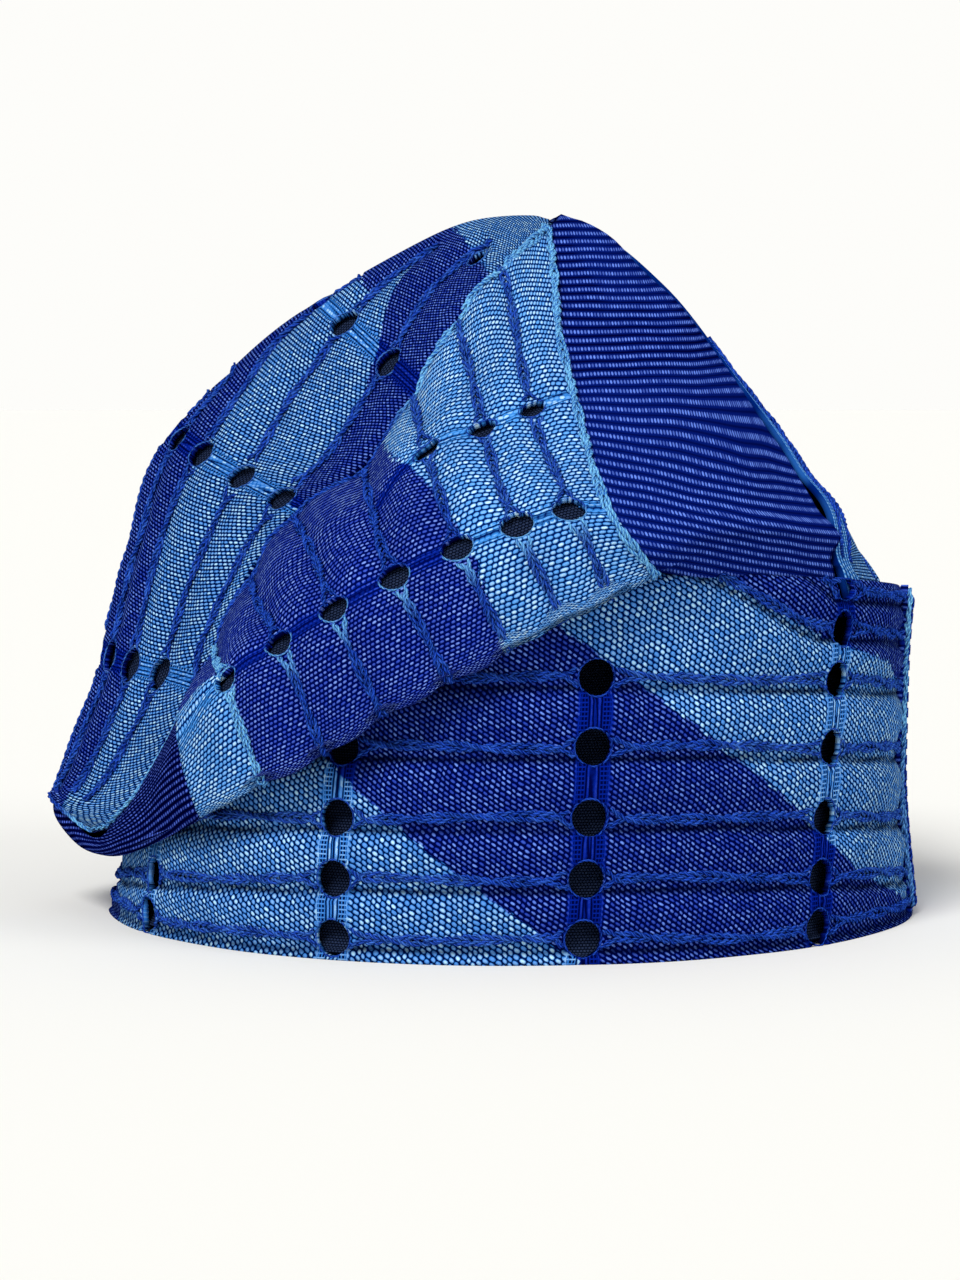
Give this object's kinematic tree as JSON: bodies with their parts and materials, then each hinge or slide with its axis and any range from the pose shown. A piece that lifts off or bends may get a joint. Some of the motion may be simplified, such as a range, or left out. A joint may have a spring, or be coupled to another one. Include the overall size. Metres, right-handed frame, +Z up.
{
  "type": "fila cap",
  "caption": "Soft woven Yoruba cap: an openwork band of striped strip cloth with a tall pleated crown folded over to one side.",
  "frame": {"origin": "centre of the cap's box at its base: the plane of the rim that it stands on, under the middle of its width and depth", "axes": "+Z up, the pictured side faces -Y, the tip of the crown points to -X"},
  "size_m": [0.1968, 0.215, 0.1569],
  "materials": {
    "openwork_cloth": "matte hand-woven strip cloth with a soft sheen, royal and light blue",
    "gusset_cloth": "fine-ribbed royal and navy strip cloth with a soft sheen",
    "lining_cloth": "plain dark fine-woven lining"
  },
  "bodies": {
    "root": {"band": "openwork_cloth", "crown_front": "openwork_cloth", "crown_top": "openwork_cloth", "crown_right": "gusset_cloth", "crown_left": "gusset_cloth", "crown_back": "openwork_cloth", "lining": "lining_cloth"}
  },
  "joints": []
}
